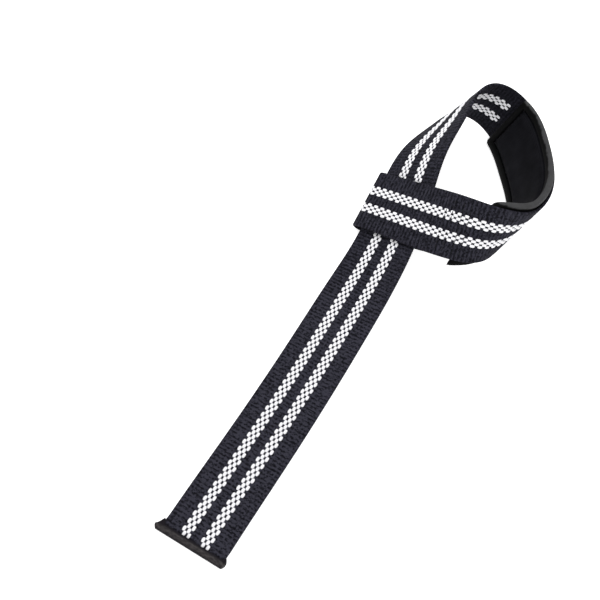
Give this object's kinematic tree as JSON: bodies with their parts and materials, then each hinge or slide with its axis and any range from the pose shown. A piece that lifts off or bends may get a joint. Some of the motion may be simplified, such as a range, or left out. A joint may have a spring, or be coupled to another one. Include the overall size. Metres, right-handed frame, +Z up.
{
  "type": "padded lifting strap",
  "caption": "Padded lifting strap: a length of striped cotton webbing whose tail runs through its own sewn end loop, with a soft pad lining the wrist loop.",
  "frame": {"origin": "centre of the strap's outline on the table that it lies on", "axes": "+Z up from the table, +Y from the tail's cut end towards the wrist loop, +X towards the side of the wrist hole"},
  "size_m": [0.101, 0.3387, 0.0519],
  "materials": {
    "cotton_webbing": "matt woven cotton with white chequered stripes",
    "pad_knit": "matt fine knit",
    "rolled_edge": "satin smooth cloth rolled over foam",
    "end_tape": "satin smooth tape"
  },
  "bodies": {
    "root": {"webbing": "cotton_webbing", "wrist_pad": "pad_knit", "pad_binding": "rolled_edge", "end_binding": "end_tape"}
  },
  "joints": []
}
